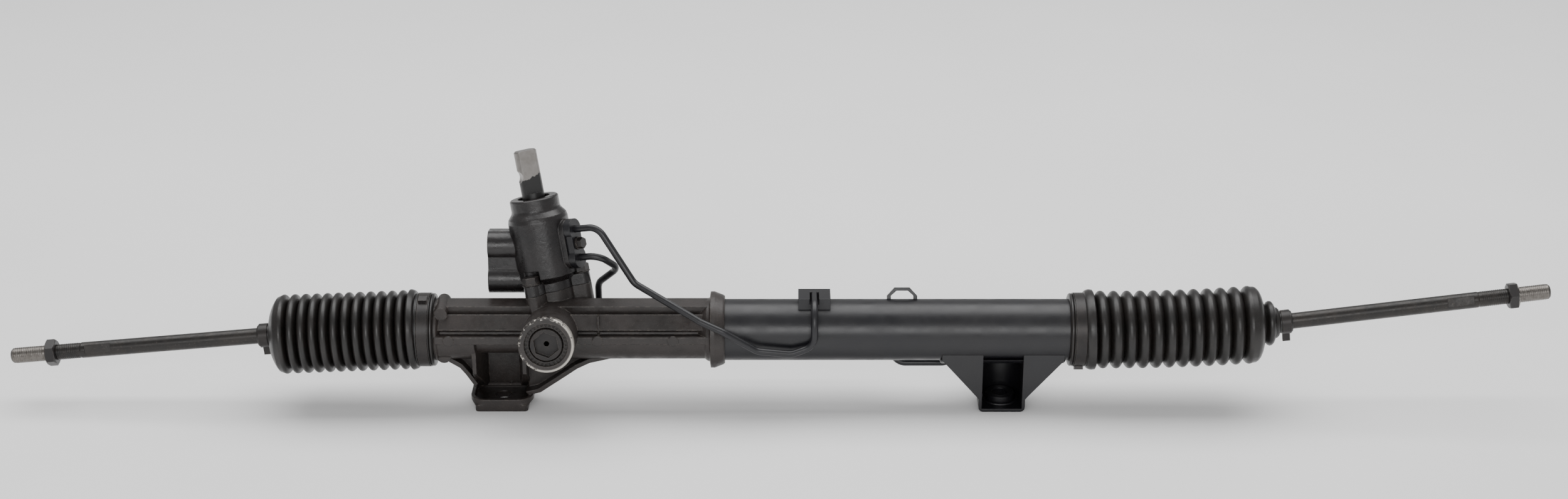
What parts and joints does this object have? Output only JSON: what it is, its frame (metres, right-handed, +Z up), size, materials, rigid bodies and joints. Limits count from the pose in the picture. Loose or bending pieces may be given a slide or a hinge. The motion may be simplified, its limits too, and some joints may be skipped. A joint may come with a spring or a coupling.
{
  "type": "hydraulic rack-and-pinion steering gear",
  "caption": "Power-assisted car steering rack with pinion valve tower, hydraulic cylinder, transfer pipes, rubber bellows and inner tie rods.",
  "frame": {"origin": "centre of the pinion-side mounting hole on the seat plane", "axes": "+X along the rack towards the power cylinder, +Z up away from the mounting seats, -Y the side the rack yoke faces"},
  "size_m": [1.2249, 0.1201, 0.2001],
  "materials": {
    "cast_aluminium": "matte as-cast",
    "cast_valve": "matte as-cast, darkened",
    "black_paint": "satin",
    "pipe_paint": "satin",
    "ground_steel": "ground",
    "bearing_steel": "ground",
    "dark_steel": "phosphated",
    "zinc_steel": "plated",
    "yoke_metal": "machined",
    "boot_rubber": "moulded",
    "seal_rubber": "moulded",
    "low_friction_plastic": "moulded"
  },
  "bodies": {
    "housing": {"rack_housing": "cast_aluminium", "rack_bush": "low_friction_plastic", "valve_housing": "cast_valve", "valve_bolts": "zinc_steel", "port_seats": "zinc_steel", "shaft_seal": "seal_rubber", "needle_bearing": "bearing_steel", "pinion_bearing_outer": "bearing_steel", "lower_needle_bearing": "bearing_steel", "rack_yoke": "yoke_metal", "yoke_pad": "low_friction_plastic", "yoke_seal": "seal_rubber", "yoke_spring": "dark_steel", "yoke_plug": "yoke_metal", "yoke_lock_ring": "yoke_metal", "cylinder_tube": "black_paint", "inner_seal": "seal_rubber", "inner_seal_seat": "yoke_metal", "end_bush": "yoke_metal", "end_seal": "seal_rubber", "end_bush_ring": "seal_rubber", "end_retainer": "dark_steel", "mount_bracket": "black_paint", "bracket_collar": "dark_steel", "tube_clip": "black_paint", "port_blocks": "black_paint", "pipe_short": "pipe_paint", "pipe_long": "pipe_paint", "pipe_plate": "pipe_paint", "pipe_plate_bolt": "zinc_steel", "pipe_rings": "seal_rubber", "boot_left": "boot_rubber", "boot_right": "boot_rubber", "boot_clamp_large_left": "zinc_steel", "boot_clamp_large_right": "zinc_steel"},
    "rack": {"rack_bar": "ground_steel", "piston": "ground_steel", "piston_ring": "low_friction_plastic", "piston_clips": "dark_steel", "lock_washer_left": "dark_steel", "lock_washer_right": "dark_steel", "ball_socket_left": "dark_steel", "ball_socket_right": "dark_steel"},
    "pinion": {"pinion": "ground_steel", "pinion_bearing_inner": "bearing_steel", "valve_sleeve": "ground_steel", "sleeve_rings": "low_friction_plastic", "torsion_bar": "ground_steel"},
    "input_shaft": {"input_shaft": "ground_steel"},
    "seat_left": {"ball_seat_left": "low_friction_plastic"},
    "rod_left": {"tie_rod_left": "dark_steel", "jam_nut_left": "dark_steel", "boot_clamp_small_left": "zinc_steel"},
    "seat_right": {"ball_seat_right": "low_friction_plastic"},
    "rod_right": {"tie_rod_right": "dark_steel", "jam_nut_right": "dark_steel", "boot_clamp_small_right": "zinc_steel"}
  },
  "joints": [
    {"name": "rack_slide", "type": "slide", "parent": "housing", "child": "rack", "axis": [1, 0, 0], "range_m": [-0.092, 0.052], "deforming": ["boot_left", "boot_right"]},
    {"name": "pinion_spin", "type": "hinge", "parent": "housing", "child": "pinion", "pos_m": [0.045, 0.01413, 0.05974], "axis": [-0.1685, 0.2217, 0.9604], "range_deg": [-725, 412]},
    {"name": "input_twist", "type": "hinge", "parent": "pinion", "child": "input_shaft", "pos_m": [0.045, 0.01413, 0.05974], "axis": [-0.1685, 0.2217, 0.9604], "range_deg": [-5, 5], "stiffness_Nm_per_rad": 65},
    {"name": "left_pitch", "type": "hinge", "parent": "rack", "child": "seat_left", "pos_m": [-0.131, 0, 0.063], "axis": [0, 1, 0], "range_deg": [-16.9, 27.1], "deforming": ["boot_left"]},
    {"name": "left_yaw", "type": "hinge", "parent": "seat_left", "child": "rod_left", "pos_m": [-0.131, 0, 0.063], "axis": [0, 0, 1], "range_deg": [-22, 22], "deforming": ["boot_left"]},
    {"name": "right_pitch", "type": "hinge", "parent": "rack", "child": "seat_right", "pos_m": [0.572, 0, 0.063], "axis": [0, 1, 0], "range_deg": [-14.7, 29.3], "deforming": ["boot_right"]},
    {"name": "right_yaw", "type": "hinge", "parent": "seat_right", "child": "rod_right", "pos_m": [0.572, 0, 0.063], "axis": [0, 0, 1], "range_deg": [-22, 22], "deforming": ["boot_right"]}
  ],
  "couplings": [
    {"joint": "pinion_spin", "follows": "rack_slide", "rad_per_m": 136.05}
  ]
}
